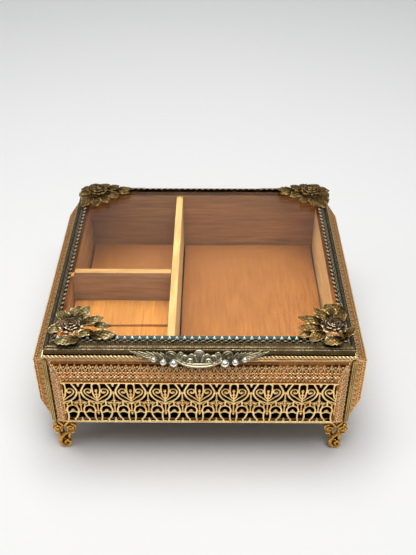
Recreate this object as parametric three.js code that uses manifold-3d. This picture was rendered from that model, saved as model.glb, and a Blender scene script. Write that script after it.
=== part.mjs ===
// Jewelry box with a glazed hinged lid, pierced metal panels, scroll feet and a wooden tray inside.
// Millimetres. The origin is at the bottom centre, +X to the right, +Y to the back, +Z up.
import * as THREE from "three";
import { mergeVertices } from "three/addons/utils/BufferGeometryUtils.js";
import Module from "manifold-3d";

const wasm = await Module();
wasm.setup();

// Driving sizes
const GAP = 0.3; // clearance between neighbouring pieces
const HALF_X = 95; // post line, where the panels meet at the corners
const HALF_Y = 92.5;
const BULGE = 10; // how far a panel's flat field stands outside the post line
const Z_BOTTOM = 24.3; // underside of the body
const Z_KNEE = 34.2; // the bottom slope ends and the field begins
const Z_SHOULDER = 69.4; // the field ends and the top slope begins
const Z_PANEL_TOP = 81;
const SHEET = 1.2; // panel thickness
const REPEATS = 8; // repeats of the openwork along one panel
const BASE_THICK = 1.6;
const ROPE = 1.1; // radius of the twisted rim

const WALL = 4.8; // board thickness of the wooden tray
const BOX_X = 94.4; // outer half sizes of the tray
const BOX_Y = 91.9;
const Z_WALL_TOP = 83.2;
const Z_TRAY = 33.6; // top of the tray floor
const Z_LINER = 34; // underside of the loose floor liners
const LINER = 3;
const DIVIDER_X = -18; // centre of the long divider
const CROSS_Y = -10.3; // centre of the cross divider
const SLOT_Y = -40; // ring slot between the two blocks
const SLOT_WIDE = 1.6;
const Z_BLOCK_TOP = 59.5;

const FOOT_X = 90; // stud of each foot
const FOOT_Y = 84.5;
const STUD = 1.5;

const Z_LID = 83.8; // underside of the lid
const LID_RISE = 8; // height of the moulding at its inner lip
const FRAME_WIDE = 7.3;
const GLASS_TOP = 90.6;
const GLASS_THICK = 3;
const BEVEL = 3;
const Z_SPRAY = 92.2; // underside of the leaf sprays
const RIVET_X = 20;
const Z_RIVET = 85.7;

const HINGE_X = 55;
const HINGE_Y = 97.2;
const HINGE_Z = 83.4;
const BARREL = 2.1;
const PIN = 0.9;

const LOOKS = {
  panel: { color: 0xb98a5c, roughness: 0.38, metalness: 0.9 },
  olive: { color: 0x8d7142, roughness: 0.42, metalness: 0.9 },
  lid: { color: 0x746447, roughness: 0.45, metalness: 0.9 },
  gilt: { color: 0xd9b57a, roughness: 0.35, metalness: 0.9 },
  foot: { color: 0xb08a42, roughness: 0.4, metalness: 0.9 },
  shell: { color: 0xc9bda0, roughness: 0.35, metalness: 0.9 },
  steel: { color: 0x9a958a, roughness: 0.4, metalness: 0.9 },
  wood: { color: 0xa87a4e, roughness: 0.7, metalness: 0 },
  floor: { color: 0xc98a50, roughness: 0.7, metalness: 0 },
  glass: { color: 0xcfe3dc, roughness: 0.05, metalness: 0, transparent: true, opacity: 0.35 },
};

const body = new THREE.Group();
const lid = new THREE.Group();

// The four corners, with the turn that points a piece's front (-Y) outwards along the diagonal, and the
// place of the rose on the lid: the roses were set by hand, so no two stand quite alike.
const CORNERS = [
  { name: "front_left", sx: -1, sy: -1, turn: -Math.PI / 4, rose: [-79.3, -77.2] },
  { name: "front_right", sx: 1, sy: -1, turn: Math.PI / 4, rose: [82.7, -76.4] },
  { name: "back_right", sx: 1, sy: 1, turn: (3 * Math.PI) / 4, rose: [84.3, 82.6] },
  { name: "back_left", sx: -1, sy: 1, turn: (-3 * Math.PI) / 4, rose: [-81.1, 82.2] },
];

// The four sides, with the turn that brings a piece drawn for the front to that side.
const SIDES = [
  { name: "front", turn: 0, width: HALF_X, depth: HALF_Y },
  { name: "right", turn: Math.PI / 2, width: HALF_Y, depth: HALF_X },
  { name: "back", turn: Math.PI, width: HALF_X, depth: HALF_Y },
  { name: "left", turn: -Math.PI / 2, width: HALF_Y, depth: HALF_X },
];

function add(group, name, geometry, look, place = [0, 0, 0], turn = 0) {
  const mesh = new THREE.Mesh(geometry, new THREE.MeshStandardMaterial(LOOKS[look]));
  mesh.name = name;
  mesh.position.set(...place);
  mesh.rotation.z = turn;
  group.add(mesh);
}

// A closed geometry as a manifold solid.
function solid(geometry) {
  const plain = geometry.clone();
  plain.deleteAttribute("normal");
  plain.deleteAttribute("uv");
  const merged = mergeVertices(plain, 1e-4);
  return new wasm.Manifold(
    new wasm.Mesh({
      numProp: 3,
      vertProperties: merged.attributes.position.array,
      triVerts: new Uint32Array(merged.index.array),
    }),
  );
}

function geometryOf(made) {
  const mesh = made.getMesh();
  const indexed = new THREE.BufferGeometry();
  indexed.setAttribute("position", new THREE.BufferAttribute(mesh.vertProperties, 3));
  indexed.setIndex(new THREE.BufferAttribute(mesh.triVerts, 1));
  const geometry = indexed.toNonIndexed();
  geometry.computeVertexNormals();
  return geometry;
}

function join(first, ...others) {
  let made = solid(first);
  for (const other of others) made = made.add(solid(other));
  return geometryOf(made);
}

function cut(first, ...tools) {
  let made = solid(first);
  for (const tool of tools) made = made.subtract(solid(tool));
  return geometryOf(made);
}

function common(first, second) {
  return geometryOf(solid(first).intersect(solid(second)));
}

function box(x0, x1, y0, y1, z0, z1) {
  const geometry = new THREE.BoxGeometry(x1 - x0, y1 - y0, z1 - z0);
  return geometry.translate((x0 + x1) / 2, (y0 + y1) / 2, (z0 + z1) / 2);
}

function rodX(radius, x0, x1, y, z, sides = 16) {
  const geometry = new THREE.CylinderGeometry(radius, radius, x1 - x0, sides);
  return geometry.rotateZ(-Math.PI / 2).translate((x0 + x1) / 2, y, z);
}

function rodY(radius, y0, y1, x, z, sides = 16) {
  const geometry = new THREE.CylinderGeometry(radius, radius, y1 - y0, sides);
  return geometry.translate(x, (y0 + y1) / 2, z);
}

function rodZ(radius, z0, z1, x, y, sides = 16) {
  const geometry = new THREE.CylinderGeometry(radius, radius, z1 - z0, sides);
  return geometry.rotateX(Math.PI / 2).translate(x, y, (z0 + z1) / 2);
}

// An outline in X and Y, made solid upwards from z = 0.
function prismZ(points, depth) {
  const shape = new THREE.Shape(points.map(([x, y]) => new THREE.Vector2(x, y)));
  return new THREE.ExtrudeGeometry(shape, { depth, bevelEnabled: false });
}

// An outline in X and Z, made solid from y0 to y1.
function prismY(points, y0, y1) {
  return prismZ(points, y1 - y0).rotateX(Math.PI / 2).translate(0, y1, 0);
}

// An outline in Y and Z, made solid from x0 to x1.
function prismX(points, x0, x1) {
  return prismZ(points, x1 - x0).rotateX(Math.PI / 2).rotateZ(Math.PI / 2).translate(x0, 0, 0);
}

// A closed body between two outlines with the same number of corners, both anticlockwise
// when seen from the side of the second.
function loft(first, second) {
  const count = first.length;
  const triangles = [];
  const face = (a, b, c) => triangles.push(...a, ...b, ...c);
  for (let i = 0; i < count; i += 1) {
    const j = (i + 1) % count;
    face(first[i], first[j], second[j]);
    face(first[i], second[j], second[i]);
  }
  for (let i = 1; i < count - 1; i += 1) {
    face(first[0], first[i + 1], first[i]);
    face(second[0], second[i], second[i + 1]);
  }
  const geometry = new THREE.BufferGeometry();
  geometry.setAttribute("position", new THREE.Float32BufferAttribute(triangles, 3));
  return geometry;
}

// A pan-shaped block for the front, with every face moved in by the inset.
function pan(width, depth, inset) {
  const slope = inset * Math.SQRT2;
  const lean = slope - inset;
  const y0 = -depth - 0.2 + (inset > 0 ? 0.02 : 0);
  const y1 = -depth - BULGE + inset;
  const rim = width - 0.2 - slope;
  const field = width - BULGE - lean;
  const outline = (x, y, low, high) => [[-x, y, low], [x, y, low], [x, y, high], [-x, y, high]];
  return loft(
    outline(rim, y0, Z_BOTTOM + slope, Z_PANEL_TOP - slope),
    outline(field, y1, Z_KNEE + lean, Z_SHOULDER - lean),
  );
}

// The openings of one repeat of the openwork: two arches below and a heart above.
function openwork(x, y) {
  const high = Z_SHOULDER - Z_KNEE;
  const arch = (centre) => [
    [centre - 3.3, 2.2], [centre + 3.3, 2.2], [centre + 3.3, 11.4], [centre, 15], [centre - 3.3, 11.4],
  ];
  const heart = [
    [0, high - 16], [6.2, high - 9.5], [4.8, high - 2.4], [0, high - 5.5],
    [-4.8, high - 2.4], [-6.2, high - 9.5],
  ];
  return [arch(-5.3), arch(5.3), heart].map((points) =>
    prismY(points, y - 1, y + 3).translate(x, 0, Z_KNEE),
  );
}

function panelShape(width, depth) {
  const step = (2 * (width - BULGE)) / REPEATS;
  const holes = [];
  for (let i = 0; i < REPEATS; i += 1) {
    holes.push(...openwork(step * (i + 0.5) - width + BULGE, -depth - BULGE));
  }
  return cut(pan(width, depth, 0), pan(width, depth, SHEET), ...holes);
}

// One mitred length of the twisted rim.
function rimShape(width) {
  const ends = (z) => [
    [-width - ROPE, -ROPE, z], [width + ROPE, -ROPE, z], [width - ROPE, ROPE, z], [-width + ROPE, ROPE, z],
  ];
  const mitred = loft(ends(-ROPE), ends(ROPE));
  return common(mitred, rodX(ROPE, -width - 3, width + 3, 0, 0, 10));
}

function addShell() {
  for (const { name, turn, width, depth } of SIDES) {
    add(body, name + "_panel", panelShape(width, depth), "panel", [0, 0, 0], turn);
    const out = depth + 0.9;
    const place = [Math.sin(turn) * out, -Math.cos(turn) * out, Z_PANEL_TOP + GAP + ROPE];
    add(body, "rim_rope_" + name, rimShape(width + 0.7), "gilt", place, turn);
  }
  const strip = box(-2.8, 2.8, -GAP - 1.1, -GAP, Z_BOTTOM + 0.6, Z_PANEL_TOP - 0.6);
  for (const { name, sx, sy, turn } of CORNERS) {
    add(body, "corner_strip_" + name, strip, "olive", [sx * HALF_X, sy * HALF_Y, 0], turn);
  }
  const top = Z_BOTTOM + BASE_THICK;
  const plate = box(-HALF_X + 1.9, HALF_X - 1.9, -HALF_Y + 1.9, HALF_Y - 1.9, Z_BOTTOM, top);
  const holes = CORNERS.map(({ sx, sy }) =>
    rodZ(STUD + GAP, Z_BOTTOM - 1, top + 1, sx * FOOT_X, sy * FOOT_Y),
  );
  add(body, "base_plate", cut(plate, ...holes), "olive");
}

// Scroll foot with a pierced eye and a stud on top, kicked outwards (-Y) towards its pad.
function footShape() {
  const high = Z_BOTTOM - GAP;
  const half = [
    [3.4, 0], [4.2, 1.4], [4.4, 3.8], [4, 6.4], [5.2, 9], [6.6, 12], [7.8, 14.6], [8.1, 17.6],
    [7.7, 20.2], [7.2, high - 1.4], [6.6, high],
  ];
  const outline = [...half, ...half.map(([x, z]) => [-x, z]).reverse()];
  const side = [
    [-10.4, 0], [-4, 0], [-1.6, 7], [2.6, 14], [4.2, high], [-6.6, high], [-8.8, 19], [-7.6, 11],
    [-10.6, 5],
  ];
  const scroll = common(prismY(outline, -12, 6), prismX(side, -12, 12));
  const eye = rodY(1.3, -13, 7, 0, 13.8, 12);
  return join(cut(scroll, eye), rodZ(STUD, high - 2, high + 6.4, 0, 0));
}

function addFeet() {
  const z = Z_BOTTOM + BASE_THICK + GAP;
  const foot = footShape();
  const nut = cut(rodZ(3.1, z, z + 2.4, 0, 0, 6), rodZ(STUD + 0.15, z - 1, z + 4, 0, 0));
  for (const { name, sx, sy } of CORNERS) {
    const place = [sx * FOOT_X, sy * FOOT_Y, 0];
    add(body, "foot_" + name, foot, "foot", place, sy < 0 ? 0 : Math.PI);
    add(body, "foot_nut_" + name, nut, "steel", place);
  }
}

function addTray() {
  const z0 = Z_BOTTOM + BASE_THICK + GAP;
  const inX = BOX_X - WALL;
  const inY = BOX_Y - WALL;
  const recesses = CORNERS.map(({ sx, sy }) => rodZ(3.6, z0 - 1, z0 + 6.4, sx * FOOT_X, sy * FOOT_Y, 12));
  const long = cut(box(-BOX_X, BOX_X, -BOX_Y, -inY, z0, Z_WALL_TOP), ...recesses);
  const short = box(-BOX_X, -inX, -inY + GAP, inY - GAP, z0, Z_WALL_TOP);
  add(body, "wall_front", long, "wood");
  add(body, "wall_back", long, "wood", [0, 0, 0], Math.PI);
  add(body, "wall_left", cut(short, ...recesses), "wood");
  add(body, "wall_right", cut(short, ...recesses), "wood", [0, 0, 0], Math.PI);

  const x = inX - GAP;
  const y = inY - GAP;
  const floor = box(-x, x, -y, y, Z_TRAY - 3.2, Z_TRAY);
  const pockets = CORNERS.map(({ sx, sy }) => rodZ(2.4, z0, Z_TRAY - 0.8, sx * FOOT_X, sy * FOOT_Y, 12));
  add(body, "tray_floor", cut(floor, ...pockets), "wood");

  const z1 = Z_TRAY + GAP;
  const left = DIVIDER_X - WALL / 2;
  const right = DIVIDER_X + WALL / 2;
  const front = CROSS_Y - WALL / 2;
  const back = CROSS_Y + WALL / 2;
  add(body, "divider_long", box(left, right, -y, y, z1, Z_WALL_TOP), "wood");
  add(body, "divider_cross", box(-x, left - GAP, front, back, z1, Z_WALL_TOP), "wood");

  const loose = 0.9; // the liners are cut a little small
  const top = Z_LINER + LINER;
  const rightLiner = box(right + loose, x - loose, -y + loose, y - loose, Z_LINER, top);
  const backLiner = box(-x + loose, left - loose, back + loose, y - loose, Z_LINER, top);
  add(body, "floor_liner_right", rightLiner, "floor");
  add(body, "floor_liner_back_left", backLiner, "floor");
  const slot = SLOT_WIDE / 2;
  const backBlock = box(-x + GAP, left - GAP, SLOT_Y + slot, front - GAP, z1, Z_BLOCK_TOP);
  const frontBlock = box(-x + GAP, left - GAP, -y + GAP, SLOT_Y - slot, z1, Z_BLOCK_TOP);
  add(body, "ring_block_back", backBlock, "floor");
  add(body, "ring_block_front", frontBlock, "floor");
}

// One mitred length of the lid moulding: a flange outside, a slope rising to a lip over the glass.
function mouldingShape(width, depth) {
  const lip = FRAME_WIDE;
  const under = GLASS_TOP + GAP - Z_LID;
  const profile = [
    [0, 0], [1.4, 0], [1.4, 3.8], [lip - 1.2, 3.8], [lip - 1.2, under], [lip, under],
    [lip, LID_RISE - 0.3], [lip - 0.8, LID_RISE], [lip - 2, LID_RISE - 0.8], [0.9, 4.9], [0, 3.9],
  ];
  const outline = profile.map(([y, z]) => [y - depth, z + Z_LID]);
  const reach = 40;
  const half = width - GAP / 2;
  const mitre = (z) => [
    [-half, -depth, z], [half, -depth, z], [half - reach, -depth + reach, z],
    [-half + reach, -depth + reach, z],
  ];
  return common(prismX(outline, -width, width), loft(mitre(Z_LID - 1), mitre(Z_LID + 12)));
}

function addLidFrame() {
  for (const { name, turn, width, depth } of SIDES) {
    let moulding = mouldingShape(width, depth);
    if (name === "front") {
      const holes = [-RIVET_X, RIVET_X].map((x) => rodY(PIN + 0.2, -depth - 1, -depth + 3, x, Z_RIVET));
      moulding = cut(moulding, ...holes);
    }
    add(lid, "lid_frame_" + name, moulding, "lid", [0, 0, 0], turn);

    const z = GLASS_TOP - GLASS_THICK - GAP;
    const alongX = name === "front" || name === "back";
    const half = alongX ? HALF_X - 4.6 : HALF_Y - 7.3;
    const strip = box(-half, half, -depth + 4.6, -depth + 7, z - 1.4, z);
    add(lid, "glass_retainer_" + name, strip, "olive", [0, 0, 0], turn);
  }
}

// Pane with a wide shallow bevel all round.
function addGlass() {
  const x = HALF_X - FRAME_WIDE + 0.9;
  const y = HALF_Y - FRAME_WIDE + 0.9;
  const low = GLASS_TOP - GLASS_THICK;
  const edge = GLASS_TOP - 1.2;
  const ring = (inset, z) => [
    [-x + inset, -y + inset, z], [x - inset, -y + inset, z], [x - inset, y - inset, z],
    [-x + inset, y - inset, z],
  ];
  add(lid, "lid_glass", join(loft(ring(0, low), ring(0, edge)), loft(ring(0, edge), ring(BEVEL, GLASS_TOP))), "glass");
}

// A flat pointed leaf with a raised back, from its root at the origin along the angle.
function leafShape(length, width, angle) {
  const outline = [
    [0, -0.16], [0.25, -0.4], [0.55, -0.5], [0.8, -0.34], [1, 0], [0.8, 0.34], [0.55, 0.5],
    [0.25, 0.4], [0, 0.16],
  ];
  const low = outline.map(([x, y]) => [x * length, y * width, 0]);
  const high = outline.map(([x, y]) => [0.1 + x * length * 0.92, y * width * 0.5, 1.3]);
  return loft(low, high).rotateZ(angle);
}

// Leaves round a corner, drawn for the front left and mirrored by the sign of the corner.
function sprayShape(sx, sy) {
  const leaves = [
    [27, 11, 2], [19, 10, 24], [17, 9.5, 46], [17, 9.5, 68], [20, 10, 88], [12, 8, 118],
    [12, 8, -34], [12.5, 8, 160], [13, 8, 200], [12.5, 8, 242], [13, 8, 285],
  ];
  const made = leaves.map(([length, width, degrees]) => {
    const along = new THREE.Vector2(sx * -Math.cos((degrees * Math.PI) / 180), sy * -Math.sin((degrees * Math.PI) / 180));
    return leafShape(length, width, along.angle());
  });
  return join(rodZ(5, 0, 1.5, 0, 0, 12), ...made);
}

// Three tiers of petals round a small dome.
function roseShape() {
  const tier = (radius, low, high, turn) => {
    const petals = [];
    for (let i = 0; i < 5; i += 1) {
      const angle = turn + (i * 2 * Math.PI) / 5;
      petals.push(rodZ(radius * 0.55, low, high, radius * Math.cos(angle), radius * Math.sin(angle), 8));
    }
    return petals;
  };
  const dome = new THREE.SphereGeometry(2.4, 10, 6).translate(0, 0, 4.2);
  return join(
    rodZ(4.4, 0, 4.2, 0, 0, 12), ...tier(4.9, 0.4, 2, 0), ...tier(3.4, 1.4, 3.6, 0.6), ...tier(1.9, 2.6, 5, 0.2), dome,
  );
}

function addOrnaments() {
  const flower = roseShape();
  for (const { name, sx, sy, rose } of CORNERS) {
    add(lid, "leaf_spray_" + name, sprayShape(sx, sy), "lid", [...rose, Z_SPRAY]);
    add(lid, "rose_" + name, flower, "lid", [...rose, Z_SPRAY + 1.5 + GAP]);
  }
}

// Lift at the front of the lid: a shell between scrolls and rows of three pearls.
function addLift() {
  const side = [
    [-0.3, 0.2], [-2.9, -0.9], [-6, -4.9], [-7.6, -4.6], [-7.2, -3], [-4.2, 1], [-3.4, 4.2], [-0.3, 4.6],
  ];
  const profile = side.map(([y, z]) => [y - HALF_Y, z + Z_LID]);
  const half = [
    [8.6, 78.6], [12, 80.2], [31, 80.8], [36, 82.6], [42, 84.6], [36, 86.4], [30, 87.6], [12, 88.6],
  ];
  const outline = [...half, ...half.map(([x, z]) => [-x, z]).reverse()];
  const plate = common(prismX(profile, -43, 43), prismY(outline, -HALF_Y - 9, -HALF_Y));
  const pearls = [];
  for (const sign of [-1, 1]) {
    for (const [x, radius] of [[15, 2.6], [21.6, 2.3], [27.6, 2]]) {
      pearls.push(new THREE.SphereGeometry(radius, 10, 8).translate(sign * x, -HALF_Y - 4.8, 83.4));
    }
  }
  const shell = new THREE.SphereGeometry(6.5, 12, 8).scale(1.25, 0.35, 0.75).translate(0, -HALF_Y - 4.4, 84.2);
  const keep = box(-43, 43, -HALF_Y - 9, -HALF_Y - GAP, 78, 90);
  const holes = [-RIVET_X, RIVET_X].map((x) => rodY(PIN + 0.2, -HALF_Y - 4, -HALF_Y, x, Z_RIVET));
  add(lid, "lid_lift", cut(common(join(plate, shell, ...pearls), keep), ...holes), "shell");
  for (const [name, x] of [["left", -RIVET_X], ["right", RIVET_X]]) {
    const shank = rodY(PIN, -HALF_Y - 1.8, -HALF_Y + 2, x, Z_RIVET);
    const head = rodY(1.5, -HALF_Y + 1.7, -HALF_Y + 2.3, x, Z_RIVET);
    add(lid, "lift_rivet_" + name, join(shank, head), "steel");
  }
}

// Butt hinge: the lid's leaf carries the middle knuckle, the body's leaf the two outer ones.
function addHinges() {
  const knuckle = (x0, x1) => rodX(BARREL, x0, x1, HINGE_Y, HINGE_Z);
  const bore = rodX(PIN + 0.15, -20, 20, HINGE_Y, HINGE_Z);
  const flange = HALF_Y + GAP;
  const lidLeaf = box(-9, 9, flange, flange + 1, Z_LID + 0.3, Z_LID + 3.7);
  const lidArm = prismX(
    [[flange, 84.2], [HINGE_Y, 83.6], [HINGE_Y + 0.6, 85.3], [flange, 85.6]], -2.8, 2.8,
  );
  const slope = [[95, 78.9], [101.6, 71.3], [102.3, 71.9], [95.7, 79.6]];
  const baseLeaf = prismX(slope, -9, 9);
  const web = [[95, 78.9], [95.9, 78.2], [98.3, 82.6], [96.6, 83.2]];
  for (const [name, x] of [["left", -HINGE_X], ["right", HINGE_X]]) {
    const place = [x, 0, 0];
    const upper = cut(join(lidLeaf, lidArm, knuckle(-2.8, 2.8)), bore);
    add(lid, "hinge_leaf_lid_" + name, upper, "steel", place);
    const outer = join(baseLeaf, prismX(web, -9, -3.1), prismX(web, 3.1, 9), knuckle(-9, -3.1), knuckle(3.1, 9));
    add(body, "hinge_leaf_base_" + name, cut(outer, bore), "steel", place);
    add(body, "hinge_pin_" + name, rodX(PIN, -9.4, 9.4, HINGE_Y, HINGE_Z), "steel", place);
  }
}

addShell();
addFeet();
addTray();
addHinges();
addLidFrame();
addGlass();
addOrnaments();
addLift();

const box_model = new THREE.Group();
box_model.add(body, lid);

export default box_model;
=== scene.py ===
"""Gilt openwork jewelry box with a glazed lid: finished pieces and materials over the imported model."""

import math

import bmesh
import bpy
import numpy as np
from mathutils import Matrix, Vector


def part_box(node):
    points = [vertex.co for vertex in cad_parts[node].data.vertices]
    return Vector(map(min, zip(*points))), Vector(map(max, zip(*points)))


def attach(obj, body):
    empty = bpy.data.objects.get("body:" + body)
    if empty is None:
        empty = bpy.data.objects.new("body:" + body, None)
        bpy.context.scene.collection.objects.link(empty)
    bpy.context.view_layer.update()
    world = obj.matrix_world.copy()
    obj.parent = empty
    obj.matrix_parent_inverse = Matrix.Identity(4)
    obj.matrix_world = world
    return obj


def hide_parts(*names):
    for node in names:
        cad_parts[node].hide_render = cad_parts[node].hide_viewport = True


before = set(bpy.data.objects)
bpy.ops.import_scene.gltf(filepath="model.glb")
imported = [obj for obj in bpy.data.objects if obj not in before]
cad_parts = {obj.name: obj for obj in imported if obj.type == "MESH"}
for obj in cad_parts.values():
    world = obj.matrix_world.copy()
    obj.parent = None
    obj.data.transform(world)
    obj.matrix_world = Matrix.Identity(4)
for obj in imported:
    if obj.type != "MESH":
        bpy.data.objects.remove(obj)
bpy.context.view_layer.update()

MM = 0.001
TAU = 2 * math.pi

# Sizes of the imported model, in millimetres, in its own frame.
HALF_X = 95.0
HALF_Y = 92.5
BULGE = 10.0
Z_BOTTOM = 24.3
Z_KNEE = 34.2
Z_SHOULDER = 69.4
Z_PANEL_TOP = 81.0
Z_LID = 83.8
GLASS_TOP = 90.6
LEAF_FLOOR = 91.9
ROSE_FLOOR = 93.2
FOOT_X = 90.0
FOOT_Y = 84.5
STRIP_HALF = 2.7
ROPE_PITCH = 4.8
STRAND_RADIUS = 0.68
GLASS_INSET = 6.4

# How many repeats of the openwork and how many pointed teeth run along one side.
REPEATS = 8
TEETH = 41

# Half widths of one repeat of the drawn openwork and of the stamped border.
OPENWORK_HALF = 10.6
STAMPED_HALF = 2.25

# Each side: its turn about Z, half its width, and its distance from the middle.
SIDES = [
    ("front", 0.0, HALF_X, HALF_Y),
    ("right", math.pi / 2, HALF_Y, HALF_X),
    ("back", math.pi, HALF_X, HALF_Y),
    ("left", -math.pi / 2, HALF_Y, HALF_X),
]
# Where each rose stands: on this box they are not quite in matching places.
ROSES = {
    "front_left": (-79.3, -77.2),
    "front_right": (82.7, -76.4),
    "back_right": (84.3, 82.6),
    "back_left": (-81.1, 82.2),
}
# Each corner: the signs of its X and Y, and the turn of its strip.
CORNERS = [
    ("front_left", -1, -1, -math.pi / 4),
    ("front_right", 1, -1, math.pi / 4),
    ("back_right", 1, 1, 3 * math.pi / 4),
    ("back_left", -1, 1, -3 * math.pi / 4),
]


# ---- materials


class Nodes:
    """Short ways to add and join the nodes of one material."""

    def __init__(self, name):
        self.material = bpy.data.materials.new(name)
        self.material.use_nodes = True
        self.tree = self.material.node_tree
        self.shader = self.tree.nodes["Principled BSDF"]
        self.coords = self.add("ShaderNodeTexCoord").outputs["Object"]

    def put(self, socket, value):
        """Joins what another node gives to a socket, or sets a number or a colour there."""
        if isinstance(value, bpy.types.NodeSocket):
            self.tree.links.new(value, socket)
        elif socket.type == "RGBA":
            socket.default_value = (*value, 1)
        else:
            socket.default_value = value

    def add(self, kind, inputs=None, **values):
        """A new node with its values set and its inputs set or joined."""
        node = self.tree.nodes.new(kind)
        for key, value in values.items():
            setattr(node, key, value)
        for key, value in (inputs or {}).items():
            self.put(node.inputs[key], value)
        return node

    def surface(self, inputs):
        """Sets or joins inputs of the material's shader."""
        for key, value in inputs.items():
            self.put(self.shader.inputs[key], value)

    def noise(self, scale, detail=3.0, stretch=(1, 1, 1), rough=0.55, shift=0.0):
        """Noise of so many features to the metre, drawn out along an axis by its stretch."""
        where = {
            "Vector": self.coords,
            "Scale": [scale / s for s in stretch],
            "Location": (shift, shift * 0.7, shift * 1.3),
        }
        place = self.add("ShaderNodeMapping", where).outputs["Vector"]
        texture = {"Vector": place, "Scale": 1.0, "Detail": detail, "Roughness": rough}
        return self.add("ShaderNodeTexNoise", texture).outputs["Fac"]

    def ramp(self, factor, stops):
        """A colour for each factor, from stops of a position and a colour."""
        node = self.add("ShaderNodeValToRGB", {"Fac": factor})
        elements = node.color_ramp.elements
        for element, (position, colour) in zip(elements, (stops[0], stops[-1])):
            element.position = position
            element.color = (*colour, 1)
        for position, colour in stops[1:-1]:
            elements.new(position).color = (*colour, 1)
        return node.outputs["Color"]

    def mix(self, factor, first, second):
        """Two colours mixed by a factor."""
        node = self.add("ShaderNodeMix", {"Factor": factor, 6: first, 7: second}, data_type="RGBA")
        return node.outputs[2]

    def scaled(self, value, low, high, start=0.0, end=1.0):
        """The value's stretch from start to end, mapped from low to high."""
        ends = {"Value": value, "From Min": start, "From Max": end, "To Min": low, "To Max": high}
        return self.add("ShaderNodeMapRange", ends).outputs["Result"]

    def bump(self, height, distance, strength):
        """Fine relief on the surface, its depth in metres."""
        relief = {"Height": height, "Distance": distance, "Strength": strength}
        self.surface({"Normal": self.add("ShaderNodeBump", relief).outputs["Normal"]})


def rgb(red, green, blue):
    """An sRGB colour, 0 to 255, as linear numbers."""

    def linear(value):
        value /= 255
        return value / 12.92 if value <= 0.04045 else ((value + 0.055) / 1.055) ** 2.4

    return linear(red), linear(green), linear(blue)


def metal(name, bright, mid, dark, rough, relief):
    """Gilt or antique brass with mottled patina: dark in its recesses, partly patina and partly painted
    shade, and bright on its high places as a painted highlight.
    """
    bright, mid, dark = rgb(*bright), rgb(*mid), rgb(*dark)
    n = Nodes(name)
    patches = n.noise(90, 4)
    grain = n.noise(900, 3, shift=3.0)
    if relief:
        # The relief attribute picks the tone: dark patina and painted shade in hollows, painted highlight
        # on high places.
        height = n.add("ShaderNodeAttribute", attribute_name="relief").outputs["Fac"]
        parts = {0: height, 1: n.scaled(grain, -0.14, 0.14, 0.3, 0.7)}
        lift = n.add("ShaderNodeMath", parts, operation="ADD").outputs[0]
        colour = n.ramp(lift, [(0.08, dark), (0.5, mid), (0.92, bright)])
    else:
        colour = n.ramp(grain, [(0.25, dark), (0.5, mid), (0.75, bright)])
    spots = n.scaled(patches, 0.0, 0.55, 0.5, 0.72)
    n.surface({
        "Base Color": n.mix(spots, colour, tuple(0.72 * c for c in mid)),
        "Metallic": 1.0,
        "Roughness": n.scaled(patches, rough[0], rough[1], 0.35, 0.7),
    })
    n.bump(n.noise(1500, 2, shift=7.0), 0.00004, 0.6)
    return n.material


def wood(name, light, mid, dark, grain_axis, figure=1.0, gloss=0.55, painted_back_shade=None):
    """Board with long grain, pores and slow changes of tone along one axis."""
    light, mid, dark = rgb(*light), rgb(*mid), rgb(*dark)
    n = Nodes(name)

    def along(stretch):
        return [stretch if axis == grain_axis else 1 for axis in range(3)]

    lines = n.noise(520, 4, along(14), 0.6)
    slow = n.noise(60 * figure, 3, along(5), 0.5, 5.0)
    pores = n.noise(2600, 2, along(22), 0.5, 2.0)
    colour = n.ramp(lines, [(0.3, dark), (0.5, mid), (0.7, light)])
    colour = n.mix(n.scaled(slow, 0.0, 0.6, 0.35, 0.7), colour, tuple(0.78 * c for c in mid))
    colour = n.mix(n.scaled(pores, 0.0, 0.3, 0.56, 0.72), colour, tuple(0.5 * c for c in dark))
    if painted_back_shade:
        # Painted shade: boards near the back are darkened towards this colour, for the shade and the
        # glass's reflection at the back of the tray.
        depth = n.add("ShaderNodeSeparateXYZ", {"Vector": n.coords}).outputs["Y"]
        colour = n.mix(n.scaled(depth, 0.0, 0.75, -0.05, 0.07), colour, rgb(*painted_back_shade))
    n.surface({
        "Base Color": colour,
        "Roughness": n.scaled(slow, gloss - 0.08, gloss + 0.12, 0.3, 0.7),
        "Specular IOR Level": 0.35,
    })
    n.bump(lines, 0.00012, 0.5)
    return n.material


def black_lining_and_shade():
    """Near black for the outer faces of the tray, behind the openwork: partly a dark lining, partly painted
    shade in the deep gap behind the pierced panels.
    """
    n = Nodes("black_lining_and_shade")
    grain = n.noise(400, 3, (8, 8, 1))
    n.surface({
        "Base Color": n.ramp(grain, [(0.3, (0.004, 0.004, 0.004)), (0.7, (0.012, 0.01, 0.009))]),
        "Roughness": n.scaled(grain, 0.75, 0.95),
        "Specular IOR Level": 0.2,
    })
    n.bump(grain, 0.0001, 0.5)
    return n.material


def glass(name, tint, rough=0.015, bend=1.5, clear_share=1.0):
    """Clear glass that lets lamplight through to what lies under it."""
    n = Nodes(name)
    n.surface({
        "Base Color": tint,
        "Transmission Weight": clear_share,
        "IOR": bend,
        "Roughness": n.scaled(n.noise(45, 4), rough, rough + 0.05, 0.45, 0.75),
    })
    clear = n.add("ShaderNodeBsdfTransparent", {"Color": [0.5 + 0.5 * c for c in tint]})
    parts = {
        "Fac": n.add("ShaderNodeLightPath").outputs["Is Shadow Ray"],
        1: n.shader.outputs["BSDF"],
        2: clear.outputs["BSDF"],
    }
    mixed = n.add("ShaderNodeMixShader", parts).outputs["Shader"]
    n.put(n.tree.nodes["Material Output"].inputs["Surface"], mixed)
    return n.material
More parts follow.
